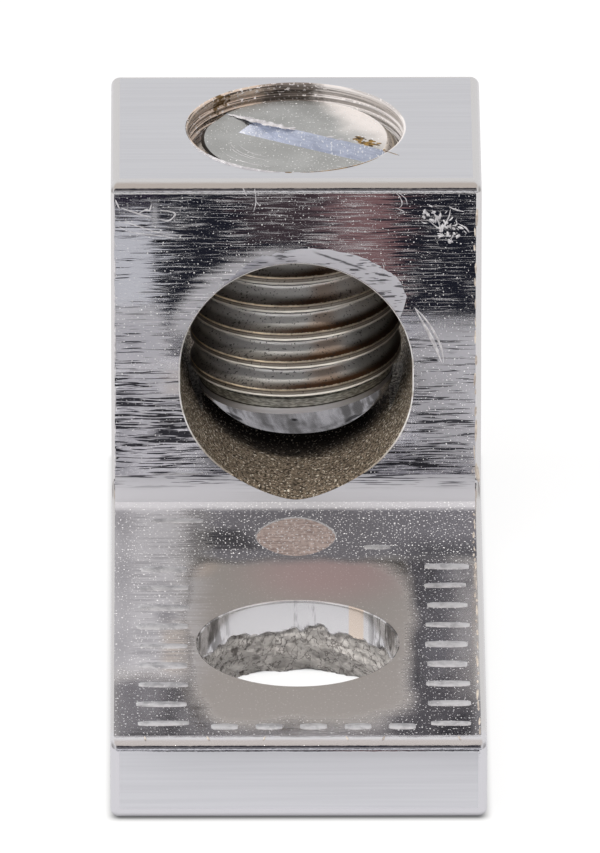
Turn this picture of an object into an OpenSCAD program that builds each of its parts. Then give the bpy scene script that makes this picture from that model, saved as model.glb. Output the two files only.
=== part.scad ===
// Mechanical lug: a one-piece extruded body with a flat bolting tongue, and a slotted
// set screw that clamps the conductor from above. Millimetres, base on z = 0.

/* [Body] */
// Width of the barrel and the tongue
body_w = 12.7; // [11.5:0.1:16]
// Depth of the barrel along the conductor
barrel_d = 9.5; // [9.3:0.05:12]
// Height of the barrel above the base
barrel_h = 14.5; // [13.6:0.1:18]
// Length of the tongue in front of the barrel
tongue_l = 20; // [18:0.1:26]
// Thickness of the tongue
tongue_t = 2.9; // [2.4:0.1:3.4]
// Radius of the inner corner where the tongue meets the barrel
corner_r = 0.7; // [0.3:0.05:1.2]
// Radius of the edges that run across the body
cross_edge_r = 0.45; // [0.2:0.05:0.8]
// Radius of the edges round the sawn sides
side_edge_r = 0.3; // [0.1:0.05:0.5]

/* [Conductor bore] */
// Width of the conductor bore
bore_w = 8; // [7.8:0.05:9]
// Height of the conductor bore
bore_h = 8.6; // [8.2:0.05:9]
// Web between the top of the tongue and the floor of the bore
bore_web = 0.05; // [0.05:0.05:1]

/* [Stud hole] */
// Diameter of the straight wall of the stud hole
stud_d = 6.85; // [5:0.05:8]
// Distance from the barrel's front face back to the stud hole's axis
stud_setback = 12.1; // [10:0.05:13]
// Radius of the mouth that the punch rolled over
roll_r = 0.15; // [0.05:0.05:0.6]
// Height of the flared break-out at the underside
flare_h = 1.0; // [0.4:0.1:1.4]
// Widening of the break-out on each side
flare_w = 0.2; // [0.05:0.05:0.4]

/* [Set screw] */
// Diameter of the set screw over its thread
screw_d = 7.3; // [7:0.05:7.7]
// Length of the set screw
screw_l = 10.1; // [9:0.1:11]
// Running clearance between the screw and its hole, on each side
screw_gap = 0.05; // [0.02:0.01:0.1]
// Height of the screw's tip above the floor of the bore
tip_lift = 1.05; // [1:0.05:2]
// Offset of the screw's axis behind the middle of the barrel
screw_back = 0.15; // [0:0.05:0.35]
// Diameter of the flat at the end of the tip
tip_d = 4.8; // [3:0.1:4.9]
// Height of the tapered tip
tip_h = 1.2; // [0.8:0.1:1.6]
// Diameter where the tip meets the lead of the thread
neck_d = 6.7; // [5.5:0.1:6.8]
// Height of the lead of the thread
lead_h = 0.55; // [0.3:0.05:0.8]
// Bevel round the screw's top
top_bevel = 0.5; // [0.1:0.05:0.6]
// Width of the driver slot
slot_w = 1.2; // [0.8:0.1:1.6]
// Depth of the driver slot
slot_depth = 1.6; // [1:0.1:2.5]
// Angle of the driver slot, seen from above
slot_angle = -30; // [-90:5:90]

/* [Hidden] */
$fn = 64;

// Overshoot of cutters past the faces they open, and overlap of joined solids
past = 1;
lap = 0.2;

overall_l = tongue_l + barrel_d;
tip_y = -overall_l / 2;
face_y = tip_y + tongue_l;
back_y = overall_l / 2;
stud_y = face_y - stud_setback;

bore_r = bore_w / 2;
bore_low_z = tongue_t + bore_web + bore_r;
bore_high_z = tongue_t + bore_web + bore_h - bore_r;

screw_y = (face_y + back_y) / 2 + screw_back;
screw_tip_z = tongue_t + bore_web + tip_lift;
hole_d = screw_d + 2 * screw_gap;
// The tap runs half the tip's height past where the screw's thread ends
hole_floor_z = screw_tip_z + tip_h / 2;

// Rectangle with round corners, centred on x and standing on y = 0
module rounded_rect(w, h, r) {
    translate([r - w / 2, 0])
        square([w - 2 * r, h]);
    translate([-w / 2, r])
        square([w, h - 2 * r]);
    for (x = [r - w / 2, w / 2 - r], y = [r, h - r])
        translate([x, y])
            circle(r);
}

// Upright block with all its edges rounded: cross_r on those along x, side_r on the rest
module rounded_block(w, d, h, cross_r, side_r) {
    intersection() {
        rotate([90, 0, 90])
            linear_extrude(height = w, center = true)
                rounded_rect(d, h, cross_r);
        rotate([90, 0, 0])
            linear_extrude(height = d + past, center = true)
                rounded_rect(w, h, side_r);
        translate([0, -d / 2, -past])
            linear_extrude(height = h + 2 * past)
                rounded_rect(w, d, side_r);
    }
}

// Concave corner between the tongue and the barrel's front face
module corner_fillet(w, r) {
    rotate([90, 0, 90])
        linear_extrude(height = w, center = true)
            difference() {
                translate([0, -lap])
                    square([r + lap, r + lap]);
                translate([0, r])
                    circle(r);
            }
}

// Bore outline, a little taller than wide
module bore_outline() {
    for (z = [bore_low_z, bore_high_z])
        translate([0, z])
            circle(bore_r);
    translate([-bore_r, bore_low_z])
        square([bore_w, bore_high_z - bore_low_z]);
}

// Punched hole: rolled mouth, straight wall, flared break-out
module stud_cutter() {
    translate([0, 0, -past])
        cylinder(d = stud_d, h = tongue_t + 2 * past);
    translate([0, 0, -lap])
        cylinder(
            r1 = stud_d / 2 + flare_w * (1 + lap / flare_h),
            r2 = stud_d / 2,
            h = flare_h + lap
        );
    translate([0, 0, tongue_t - roll_r])
        rotate_extrude()
            difference() {
                translate([stud_d / 2 - lap, 0])
                    square([roll_r + lap, roll_r + lap]);
                translate([stud_d / 2 + roll_r, 0])
                    circle(roll_r);
            }
}

module lug_body() {
    color([0.78, 0.78, 0.8])
        difference() {
            union() {
                translate([0, (face_y + back_y) / 2, 0])
                    rounded_block(body_w, barrel_d, barrel_h, cross_edge_r, side_edge_r);
                rounded_block(body_w, overall_l, tongue_t, cross_edge_r, side_edge_r);
                translate([0, face_y - corner_r, tongue_t])
                    corner_fillet(body_w - 2 * side_edge_r, corner_r);
            }
            translate([0, back_y + past, 0])
                rotate([90, 0, 0])
                    linear_extrude(height = barrel_d + corner_r + 2 * past)
                        bore_outline();
            translate([0, screw_y, hole_floor_z])
                cylinder(d = hole_d, h = barrel_h - hole_floor_z + past);
            translate([0, stud_y, 0])
                stud_cutter();
        }
}

module set_screw() {
    color([0.62, 0.6, 0.55])
        translate([0, screw_y, screw_tip_z])
            difference() {
                rotate_extrude()
                    polygon([
                        [0, 0],
                        [tip_d / 2, 0],
                        [neck_d / 2, tip_h],
                        [screw_d / 2, tip_h + lead_h],
                        [screw_d / 2, screw_l - top_bevel],
                        [screw_d / 2 - top_bevel, screw_l],
                        [0, screw_l]
                    ]);
                rotate([0, 0, slot_angle])
                    translate([0, 0, screw_l + past / 2 - slot_depth / 2])
                        cube([screw_d + past, slot_w, slot_depth + past], center = true);
            }
}

lug_body();
set_screw();
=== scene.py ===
import math
import random

import bmesh
import bpy
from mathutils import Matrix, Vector, noise


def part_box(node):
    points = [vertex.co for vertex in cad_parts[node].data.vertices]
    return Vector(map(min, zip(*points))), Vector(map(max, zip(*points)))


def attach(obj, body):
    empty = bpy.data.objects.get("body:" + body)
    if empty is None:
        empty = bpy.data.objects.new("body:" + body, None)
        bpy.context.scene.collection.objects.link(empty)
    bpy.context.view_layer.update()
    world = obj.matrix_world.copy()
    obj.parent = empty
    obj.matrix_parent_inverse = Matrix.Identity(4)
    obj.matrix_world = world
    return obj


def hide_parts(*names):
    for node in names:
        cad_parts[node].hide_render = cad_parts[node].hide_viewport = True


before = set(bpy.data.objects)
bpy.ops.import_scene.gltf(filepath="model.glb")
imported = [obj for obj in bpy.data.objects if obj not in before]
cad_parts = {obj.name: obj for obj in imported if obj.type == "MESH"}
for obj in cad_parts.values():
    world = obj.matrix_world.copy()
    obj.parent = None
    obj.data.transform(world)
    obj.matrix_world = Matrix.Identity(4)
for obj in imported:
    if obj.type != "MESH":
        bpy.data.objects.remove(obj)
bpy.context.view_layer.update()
scene = bpy.context.scene
mm = 0.001
print("frame loaded")


class Wire:
    # one output socket; sums on it add Math nodes to its tree
    def __init__(self, tree, socket=None):
        self.tree = tree
        self.socket = socket

    def node(self, kind, settings=None, inputs=None, output=0):
        made = self.tree.nodes.new("ShaderNode" + kind)
        for name, value in (settings or {}).items():
            setattr(made, name, value)
        for name, value in (inputs or {}).items():
            if isinstance(value, Wire):
                self.tree.links.new(value.socket, made.inputs[name])
            else:
                socket = made.inputs[name]
                socket.default_value = value + (1,) if socket.type == "RGBA" else value
        return Wire(self.tree, made.outputs[output] if made.outputs else None)

    def math(self, operation, *values):
        return self.node("Math", {"operation": operation}, dict(enumerate(values)))

    def __add__(self, other):
        return self.math("ADD", self, other)

    __radd__ = __add__

    def __sub__(self, other):
        return self.math("SUBTRACT", self, other)

    def __rsub__(self, other):
        return self.math("SUBTRACT", other, self)

    def __mul__(self, other):
        return self.math("MULTIPLY", self, other)

    __rmul__ = __mul__

    def __truediv__(self, other):
        return self.math("DIVIDE", self, other)

    def __rtruediv__(self, other):
        return self.math("DIVIDE", other, self)

    def __pow__(self, other):
        return self.math("POWER", self, other)

    def __abs__(self):
        return self.math("ABSOLUTE", self)

    def ramp(self, low, high):  # 0 below low, 1 above high, smooth between
        settings = {"interpolation_type": "SMOOTHSTEP"}
        return self.node("MapRange", settings, {0: self, 1: low, 2: high, 3: 0.0, 4: 1.0})

    def fall(self, low, high):  # 1 below low, 0 above high
        return 1.0 - self.ramp(low, high)

    def band(self, low, high, soft):  # 1 between low and high
        return self.ramp(low - soft, low + soft) * self.fall(high - soft, high + soft)

    def mix(self, first, second):  # colours, this wire being the share of the second
        return self.node("Mix", {"data_type": "RGBA"}, {0: self, 6: first, 7: second}, 2)

    def vector(self, x, y, z):
        return self.node("CombineXYZ", None, {0: x, 1: y, 2: z})

    def split(self):
        return [self.node("SeparateXYZ", None, {0: self}, axis) for axis in range(3)]

    def top(self, other):  # the larger of the two
        return self.math("MAXIMUM", self, other)

    def noise(self, place, detail=2.0, roughness=0.5):
        inputs = {"Vector": self.vector(*place), "Detail": detail, "Roughness": roughness}
        return self.node("TexNoise", None, {"Scale": 1.0, **inputs})

    def specks(self, place, share):  # small uneven dots
        return self.noise(place, 1.0, 0.4).ramp(share, share + 0.05)

    def places(self):  # x, y, z in millimetres
        here = self.node("TexCoord", output="Object")
        return self.node("VectorMath", {"operation": "SCALE"}, {0: here, "Scale": 1000.0}).split()

    def lean(self, x, y, z):  # the face's own normal, leaning by these slopes
        normal = self.node("NewGeometry", output="Normal")
        moved = self.node("VectorMath", {"operation": "ADD"}, {0: normal, 1: self.vector(x, y, z)})
        return self.node("VectorMath", {"operation": "NORMALIZE"}, {0: moved})

    def bump(self, height, normal=None):  # height in millimetres
        inputs = {"Strength": 1.0, "Distance": mm, "Height": height}
        if normal is not None:
            inputs["Normal"] = normal
        return self.node("Bump", None, inputs)


def distance(*axes):  # from a spot; each axis is a wire and the spot's coordinate
    return sum((wire - at) * (wire - at) for wire, at in axes) ** 0.5


def makeMaterial(paint):  # the material takes the place of the function that paints it
    made = bpy.data.materials.new(paint.__name__)
    made.use_nodes = True
    tree = made.node_tree
    shader = tree.nodes["Principled BSDF"]
    w = Wire(tree)
    for socket, value in paint(w, *w.places()).items():
        if isinstance(value, Wire):
            tree.links.new(value.socket, shader.inputs[socket])
        else:
            shader.inputs[socket].default_value = value
    return made


def makeObject(name, verts, faces, materials, indices=None):
    mesh = bpy.data.meshes.new(name)
    mesh.from_pydata([tuple(c * mm for c in v) for v in verts], [], faces)
    for material in materials:
        mesh.materials.append(material)
    if indices is not None:
        mesh.polygons.foreach_set("material_index", indices)
    made = bpy.data.objects.new(name, mesh)
    scene.collection.objects.link(made)
    return made


def turnOut(target):  # all faces look outwards
    work = bmesh.new()
    work.from_mesh(target.data)
    bmesh.ops.recalc_face_normals(work, faces=work.faces)
    work.to_mesh(target.data)
    work.free()


def cut(target, cutter):
    turnOut(cutter)
    step = target.modifiers.new("cut", "BOOLEAN")
    step.object = cutter
    step.operation = "DIFFERENCE"
    step.solver = "EXACT"
    step.material_mode = "TRANSFER"
    graph = bpy.context.evaluated_depsgraph_get()
    target.data = bpy.data.meshes.new_from_object(target.evaluated_get(graph))
    target.modifiers.clear()
    bpy.data.objects.remove(cutter)


def smooth(target, degrees):
    target.data.polygons.foreach_set("use_smooth", [True] * len(target.data.polygons))
    target.data.set_sharp_from_angle(angle=math.radians(degrees))
    step = target.modifiers.new("normals", "WEIGHTED_NORMAL")
    step.keep_sharp = True


def wobble(x, y, z):
    return noise.noise(Vector((x, y, z)))


def hoops(count, steps, first=0):  # faces of a closed tube: count rings of steps points
    faces = []
    for i in range(count - 1):
        for k in range(steps):
            a, b = first + i * steps + k, first + i * steps + (k + 1) % steps
            faces.append((a, b, b + steps, a + steps))
    last = first + (count - 1) * steps
    ends = range(first + steps - 1, first - 1, -1), range(last, last + steps)
    return faces + [tuple(end) for end in ends]


def revolve(name, rows, steps, material, y, radiusOf=None):
    # closed solid of revolution from rows of (radius, z); radiusOf(radius, z, angle) bends it
    verts = []
    for radius, z in rows:
        for k in range(steps):
            angle = 2 * math.pi * k / steps
            r = radiusOf(radius, z, angle) if radiusOf else radius
            verts.append((r * math.cos(angle), y + r * math.sin(angle), z))
    return makeObject(name, verts, hoops(len(rows), steps), [material])


def settle(made, degrees, rider):  # a finished piece on its body
    turnOut(made)
    smooth(made, degrees)
    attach(made, rider)


# materials of the plated body

plateLook = {
    "colour": (0.82, 0.82, 0.84),
    "line": (0.74, 0.74, 0.76),
    "rough": 0.30,
    "grain": 0.0010,
}


@makeMaterial
def plate(w, x, y, z):
    grain = w.noise((x * 0.12, y * 9.0, z * 9.0), 3.0)
    cloud = w.noise((x * 0.2, y * 0.3, z * 0.3), 2.0)
    return {
        "Base Color": (grain.ramp(0.35, 0.7) * 0.5).mix(plateLook["colour"], plateLook["line"]),
        "Metallic": 1.0,
        "Roughness": plateLook["rough"] + (cloud - 0.5) * 0.08 + (grain - 0.5) * 0.06,
        "Normal": w.bump(grain * plateLook["grain"]),
    }


edgeLook = {"colour": (0.84, 0.82, 0.80), "low": (0.82, 0.81, 0.83), "rough": 0.14}


@makeMaterial
def edge(w, x, y, z):
    wear = w.noise((x * 1.3, y * 3.0, z * 3.0), 4.0, 0.6)
    tongueEdge = y.fall(-14.0, -13.5)
    return {
        "Base Color": tongueEdge.mix(edgeLook["colour"], edgeLook["low"]),
        "Metallic": 1.0 - tongueEdge * z.ramp(2.74, 2.82) * 0.14,
        "Roughness": edgeLook["rough"] + (wear - 0.5) * 0.2,
        "Normal": w.bump(wear * 0.012),
    }


frontLook = {
    "colour": (0.86, 0.86, 0.89),
    "speck": (0.80, 0.80, 0.80),
    # colour of the die lines' painted dark reflection
    "line": (0.02, 0.02, 0.028),
    "veil": (0.42, 0.42, 0.46),
    "rough": 0.05,
    "lean": 0.052,
}


@makeMaterial
def front(w, x, y, z):  # die lines with painted reflections: painted dark on the lower part and pale on the upper
    wander = w.noise((x * 0.3, 2.0, z * 0.4), 2.0) * 3.0
    fine = w.noise((x * 0.6, 0.0, z * 16.0 + wander), 2.0, 0.6)
    coarse = w.noise((x * 0.5 + 3.0, 0.0, z * 9.0 + wander), 2.0, 0.6)
    hair = w.noise((x * 0.7, 4.0, z * 19.0 + wander), 2.0, 0.6)
    patch = w.noise((x * 0.4, 5.0, z * 0.55), 2.0) - 0.5
    lowLeft = x.fall(-3.0, -1.6) * z.band(3.7, 7.2, 0.9)
    lowRight = x.ramp(1.4, 2.8) * z.band(3.4, 6.6, 0.8)
    leftEnd = (x + (coarse - 0.5) * 2.5).fall(-5.0, -4.2)
    upper = (z + (fine - 0.5) * 2.0).ramp(8.7, 9.7)
    ring = distance((x, 0.0), (z, 7.5)) + (coarse - 0.5) * 1.4
    halo = ring.fall(4.3, 5.0) * z.ramp(8.6, 9.4) * x.fall(-1.2, 0.2)  # wiped metal beside the bore
    dense = patch * 0.30 + (lowLeft * 0.09 + lowRight * 0.065) * z.ramp(3.2, 3.6)
    lines = (fine + dense).ramp(0.605, 0.63).top((coarse + dense).ramp(0.635, 0.655))
    # die lines painted dark as reflections; in the upper part only at the left end and beside the
    # bore
    dark = lines * (1.0 - upper * (1.0 - (leftEnd * 0.6).top(halo)))
    # pale lines painted in the upper part stand in for light mirrored in the die lines
    pale = (hair + patch * 0.35).ramp(0.50, 0.66) * upper * (0.30 - leftEnd * 0.15)
    # rubbed dull
    veil = leftEnd * z.band(7.7, 9.8, 0.6) + x.ramp(3.4, 4.8) * z.band(4.2, 9.2, 0.8) * 0.6
    veil = veil.top(halo * 0.8)
    wipe = x.band(-4.95, -4.74, 0.12) * z.band(12.9, 13.85, 0.4) * (0.3 + fine) * 0.3
    dots = w.specks((x * 15.0, 0.0, z * 15.0), 0.67).top(wipe).top(pale)
    bare = (dark * 0.95).mix(veil.mix(frontLook["colour"], frontLook["veil"]), frontLook["line"])
    tilt = frontLook["lean"] + dark * 0.045 + (fine - 0.5) * 0.035
    return {
        "Base Color": dots.mix(bare, frontLook["speck"]),
        "Metallic": 1.0 - (dots * 0.85).top(veil * 0.75),
        "Roughness": frontLook["rough"] + dots * 0.3 + veil * 0.2,
        "Normal": w.lean((fine - 0.5) * 0.07, 0.0, tilt),
    }


tongueLook = {
    "colour": (0.85, 0.825, 0.80),
    # olive, pink and peach: the bore's reflection, painted into the patch round the hole
    "olive": (0.395, 0.368, 0.352),
    "pink": (0.44, 0.335, 0.335),
    "dim": (0.235, 0.23, 0.255),
    "peach": (0.50, 0.40, 0.33),
    "shade": (0.22, 0.215, 0.24),
    "pale": (0.615, 0.61, 0.64),
    "warm": (0.56, 0.49, 0.43),
    "gloom": (0.025, 0.025, 0.03),
    "speck": (0.95, 0.95, 0.96),
    "rough": 0.10,
    "middle": (0.0, -6.5),
    "reach": (4.1, 7.2),
}


@makeMaterial
def tongueTop(w, x, y, z):  # bright, with a matte patch round the hole painted with the bore's reflection
    fine = w.noise((x * 0.5, y * 7.0, 0.0), 3.0, 0.6) - 0.5
    cloud = w.noise((x * 0.35, y * 0.25, 2.0), 2.0) - 0.5
    across = (x - tongueLook["middle"][0]) / tongueLook["reach"][0]
    along = (y - tongueLook["middle"][1]) / tongueLook["reach"][1]
    away = (across ** 4.0 + along ** 4.0) ** 0.25
    mirroredBorePatch = (away + cloud * 0.35 + fine * 0.10).fall(0.84, 1.04)
    # towards the barrel
    inner = (x + fine * 1.5).ramp(-4.2, -2.6) * (y + cloud * 2.0).ramp(-0.7, 0.3)
    slant = x + (y - 1.5) * 0.45 + fine * 1.2
    gloom = slant.band(-3.6, -1.5, 0.5) * (y + fine * 1.2).band(0.7, 2.3, 0.3) * (0.7 + fine)
    left = (x + fine * 1.6).fall(-4.6, -2.6) * (y + cloud * 4.0 + fine * 1.5).ramp(-11.0, -8.4)
    lit = (y + fine * 0.3).ramp(3.7, 4.2)
    pink = distance((x * 0.85, 0.9), (y, -1.2)).fall(0.6, 3.4)
    peach = distance((x, -3.5), (y * 0.7, -0.3)).fall(0.2, 1.1)
    streaks = (fine + cloud * 0.6).ramp(-0.02, 0.12) * 0.42
    # the patch's olive, pink and peach tints are the bore's painted reflection
    worn = peach.mix(pink.mix(tongueLook["olive"], tongueLook["pink"]), tongueLook["peach"])
    smudge = (distance((x, -4.45), (y * 0.6, -2.8)) + fine * 0.9).fall(0.1, 0.55)
    stripe = (x + fine).band(-5.8, -3.7, 0.4) * (y + fine * 1.6).band(-7.9, -6.8, 0.3)
    smudge = smudge.top(stripe * fine.ramp(-0.08, 0.06) * 0.8)
    dim = (x + fine * 0.8).band(3.5, 5.3, 0.5).top((x + cloud).ramp(2.6, 3.4) * y.fall(-12.6, -9.5))
    dim = dim.top(x.fall(-3.2, -2.4) * (y + fine).fall(-10.4, -9.4) * 0.6) * (1.0 - mirroredBorePatch)
    bare = mirroredBorePatch.mix((dim * 0.85).mix(tongueLook["colour"], tongueLook["dim"]), worn)
    border = (x + fine * 0.8).fall(-6.0, -5.3) * (0.45 + cloud * 0.8)
    warm = (x + fine * 0.6).band(-4.6, -3.7, 0.25) * (y + cloud * 2.0).band(-9.2, -5.4, 0.6) * 0.7
    sheet = warm.mix(tongueLook["pale"], tongueLook["warm"])
    bare = left.mix(bare, streaks.top(smudge * 0.7).top(border).mix(sheet, tongueLook["shade"]))
    cornered = (x + cloud * 2.0).ramp(2.8, 4.4) * (y + cloud * 2.0).fall(0.2, 2.2) * 0.65
    bare = inner.mix(bare, gloom.top(cornered).mix(tongueLook["shade"], tongueLook["gloom"]))
    bare = lit.mix(bare, tongueLook["pale"])
    matte = mirroredBorePatch.top(inner).top(left).top(lit)
    dark = x.fall(-3.4, -2.4) * y.fall(-10.2, -9.2) + x.ramp(3.6, 4.4) * cloud.ramp(-0.06, 0.08)
    slope = fine * 0.05 + dark * 0.045 + cloud * 0.06
    dots = w.specks((x * 15.0, y * 9.5, 0.0), 0.66 - dim.top(inner) * 0.02) * (1.0 - mirroredBorePatch * 0.7)
    return {
        "Base Color": dots.mix(bare, tongueLook["speck"]),
        "Metallic": 1.0 - matte * 0.55 - lit * 0.3 - dots * 0.45,
        "Roughness": tongueLook["rough"] + matte * 0.22 + dots * 0.2,
        "Normal": w.lean(0.0, slope * (1.0 - matte * 0.7), 0.0),
    }


cornerLook = {"colour": (0.45, 0.45, 0.48), "line": (0.05, 0.05, 0.06), "rough": 0.60}


@makeMaterial
def corner(w, x, y, z):  # the inner corner, never polished
    grain = w.noise((x * 0.3, y * 8.0, z * 8.0), 3.0)
    # the face's die lines, painted dark as reflections, carried over the fillet's top
    lines = w.noise((x * 0.5, 0.0, z * 16.0), 2.0, 0.6).ramp(0.55, 0.58) * z.ramp(3.1, 3.4)
    return {
        "Base Color": lines.mix(cornerLook["colour"], cornerLook["line"]),
        "Metallic": 0.1,
        "Roughness": cornerLook["rough"],
        "Normal": w.bump(grain * 0.004),
    }


@makeMaterial
def rim(w, x, y, z):
    highlightBreaks = w.noise((x * 2.0, y * 2.0, z * 2.0), 3.0)
    # painted highlight along the bore's rim, broken in places, fading to dark brown towards the
    # bottom
    bright = highlightBreaks.ramp(0.3, 0.5).mix((0.55, 0.51, 0.46), (0.90, 0.89, 0.88))
    return {
        "Base Color": z.ramp(3.6, 6.0).mix((0.30, 0.26, 0.21), bright),
        "Metallic": 0.2,
        "Roughness": 0.3,
    }


boreLook = {
    "light": (0.32, 0.257, 0.19),
    "dark": (0.04, 0.033, 0.026),
    "paintedShadow": (0.036, 0.032, 0.028),
    "speck": (0.92, 0.84, 0.70),
}


@makeMaterial
def boreWall(w, x, y, z):  # sandy near the mouth, with painted shadow under and behind the screw's tip
    sand = w.noise((x * 10.0, y * 10.0, z * 10.0), 3.0, 0.7)
    beside = abs(x).ramp(2.4, 3.5)
    dots = w.specks((x * 13.0, y * 9.0, z * 13.0), 0.645 - beside * 0.055)
    between = 1.0 - x.ramp(2.4, 3.2) * 0.9 - x.fall(-3.7, -2.8) * 0.5
    # painted shadow under and behind the screw's tip, less of it at the sides
    deep = y.ramp(7.5, 9.4) * y.fall(11.0, 13.2) * between
    colour = sand.ramp(0.36, 0.64).mix(boreLook["dark"], boreLook["light"])
    shown = deep.mix(dots.mix(colour, boreLook["speck"]), boreLook["paintedShadow"])
    return {
        "Base Color": (dots * deep * 0.65).mix(shown, (0.90, 0.82, 0.70)),
        "Metallic": 0.25 * (1.0 - deep),
        "Roughness": 0.45 - dots * 0.2,
        "Specular IOR Level": 0.0,
        "Normal": w.bump(sand * 0.06),
    }


tapLook = {
    "left": (0.80, 0.66, 0.55),
    "middle": (0.26, 0.225, 0.20),
    "right": (0.97, 0.93, 0.91),
    "ring": (0.05, 0.04, 0.035),
    "dirt": (0.12, 0.068, 0.02),
}


@makeMaterial
def tapWall(w, x, y, z):  # warm on the left, black rings behind, bright on the right
    stain = w.noise((x * 1.2, y * 1.2, z * 3.0), 3.0)
    crumbs = w.noise((x * 4.0, y * 4.0, z * 5.0), 3.0, 0.6) - 0.5
    rings = w.noise((x * 0.35, y * 0.35, z * 21.0), 2.0)
    flecks = w.specks((x * 9.0, y * 9.0, z * 14.0), 0.61)
    sand = w.noise((x * 10.0, y * 10.0, z * 10.0), 3.0, 0.7).ramp(0.36, 0.64)
    shift = x + (stain - 0.5) * 1.6 + crumbs * 0.8
    side = shift.ramp(-1.5, -0.8).mix(tapLook["left"], tapLook["middle"])
    side = shift.ramp(0.3, 1.0).mix(side, tapLook["right"])
    ringed = (rings.ramp(0.53, 0.58) * (0.9 - x.ramp(0.4, 2.0) * 0.55)).mix(side, tapLook["ring"])
    ringed = (flecks * 0.9).mix(ringed, tapLook["right"])
    dirt = (distance((x, -2.55), (y, 12.75), (z, 14.25)) + crumbs * 1.6).fall(0.25, 0.45)
    speck = (distance((x, 2.6), (y, 7.6), (z, 14.0)) + crumbs * 1.2).fall(0.15, 0.35)
    dirt = dirt.top(speck)
    sandy = sand.mix((0.10, 0.09, 0.08), (1.0, 0.95, 0.88))
    low = (abs(x).ramp(1.0, 2.8) * (0.4 + x.ramp(-0.5, 0.5) * 0.6)).mix(boreLook["paintedShadow"], sandy)
    inside = z.fall(12.2, 12.9)  # hardly any light gets down here
    return {
        "Base Color": inside.mix((dirt * 0.95).mix(ringed, tapLook["dirt"]), low),
        "Metallic": (0.55 - dirt * 0.5) * (1.0 - inside),
        "Roughness": 0.24 + stain * 0.15 + inside * 0.5,
        "Specular IOR Level": 0.1,
        "Normal": w.bump(rings * 0.025 + dirt * crumbs * 0.1),
    }


studLook = {
    "land": (0.80, 0.79, 0.80),
    "peach": (0.86, 0.74, 0.64),
    "torn": (0.60, 0.58, 0.56),
    # crease: dark painted shade in the creases, also used for dark blotches on the land
    "crease": (0.07, 0.06, 0.055),
}


@makeMaterial
def studWall(w, x, y, z):  # burnished above, torn below
    torn = w.node("Attribute", {"attribute_name": "torn"}, None, "Fac")
    grit = w.noise((x * 3.0, y * 3.0, z * 3.0), 3.0, 0.6)
    folds = w.noise((x * (1.0 + z * 0.3) * 2.4, y * 1.2, z * 2.2), 3.0, 0.6) - 0.5
    # creases of the torn break, painted dark as shade
    crease = abs(folds).fall(0.0, 0.045)
    leftward = (x + (grit - 0.5) * 1.5).fall(-2.2, -0.9)
    lumps = w.noise((x * 1.3, y * 1.3, z * 1.9), 2.0).ramp(0.42, 0.60) * 0.3
    dark = (crease * 0.75).top(grit.fall(0.34, 0.52) * (0.35 + 0.55 * leftward)).top(lumps)
    rough = dark.mix(studLook["torn"], studLook["crease"])
    strip = x.band(1.75, 2.25, 0.04)  # a burnished strip with a warm tint
    panel = x.band(-0.12, 0.62, 0.03) * 0.3 + x.fall(-3.1, -1.9) * 0.85 + x.ramp(2.25, 2.8) * 0.85
    blot = w.noise((x * 3.0, y * 3.0, z * 0.8), 3.0, 0.6).ramp(0.44, 0.56)
    land = strip.mix(studLook["land"], studLook["peach"])
    land = (panel * blot).mix(land, studLook["crease"])
    return {
        "Base Color": torn.mix(land, rough),
        "Metallic": 0.75 - torn * 0.65,
        "Roughness": 0.12 + torn * 0.4,
        "Specular IOR Level": 0.2,
        "Normal": w.bump(grit * torn * 0.16),
    }


markLook = {
    # scuff is also the colour of the painted highlights along the left edge
    "scuff": (0.72, 0.71, 0.73),
    # cream is the colour of the painted highlights along the right edges
    "cream": (0.80, 0.72, 0.62),
    "smear": (0.57, 0.57, 0.61),
    "bar": (0.62, 0.62, 0.64),
    "cut": (0.06, 0.06, 0.07),
    "dirt": (0.26, 0.16, 0.045),
}


def wearAndHighlightPatches(w, place, dark, light, rough):
    patch = w.noise(place, 3.0)
    return {
        "Base Color": patch.ramp(0.35, 0.65).mix(dark, light),
        "Metallic": 0.3,
        "Roughness": rough + patch * 0.2,
    }


@makeMaterial
def scuffsAndEdgeShine(w, x, y, z):
    return wearAndHighlightPatches(w, (x * 5.0, y * 5.0, z * 5.0), (0.48, 0.47, 0.49), markLook["scuff"], 0.25)


@makeMaterial
def creamHighlight(w, x, y, z):
    return wearAndHighlightPatches(w, (x * 4.0, y * 4.0, z * 4.0), (0.46, 0.40, 0.35), markLook["cream"], 0.22)


@makeMaterial
def smeared(w, x, y, z):  # wiped metal, with level scratches on the right
    cuts = w.noise((x * 1.2, 0.0, z * 10.5), 2.0, 0.6)
    fine = w.noise((x * 1.5, 3.0, z * 9.0), 3.0)
    shade = (x + (fine - 0.5) * 4.0).ramp(-2.2, 0.5).mix((0.30, 0.30, 0.34), markLook["smear"])
    long = (z + x * 0.37 + (fine - 0.5) * 0.1).band(12.19, 12.26, 0.03)  # one slanting cut
    dark = (cuts - x.ramp(-1.0, 0.4) * 0.04 + x.ramp(1.6, 2.4) * 0.05).ramp(0.57, 0.60)
    dark = dark.top(long * x.band(0.7, 2.3, 0.2))
    return {
        "Base Color": (dark * 0.9).mix(shade, markLook["cut"]),
        "Metallic": 0.4,
        "Roughness": 0.3 + fine * 0.2,
    }


@makeMaterial
def worn(w, x, y, z):  # worn tops of raised marks
    rubbed = w.noise((x * 2.2, y * 2.2, 0.0), 4.0, 0.6)
    dots = w.specks((x * 12.0, y * 9.0, 0.0), 0.66)
    bare = rubbed.ramp(0.3, 0.6).mix((0.36, 0.36, 0.38), markLook["bar"])
    return {
        "Base Color": dots.mix(bare, markLook["scuff"]),
        "Metallic": 0.5,
        "Roughness": 0.34,
        "Normal": w.bump(rubbed * 0.02),
    }


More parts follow.
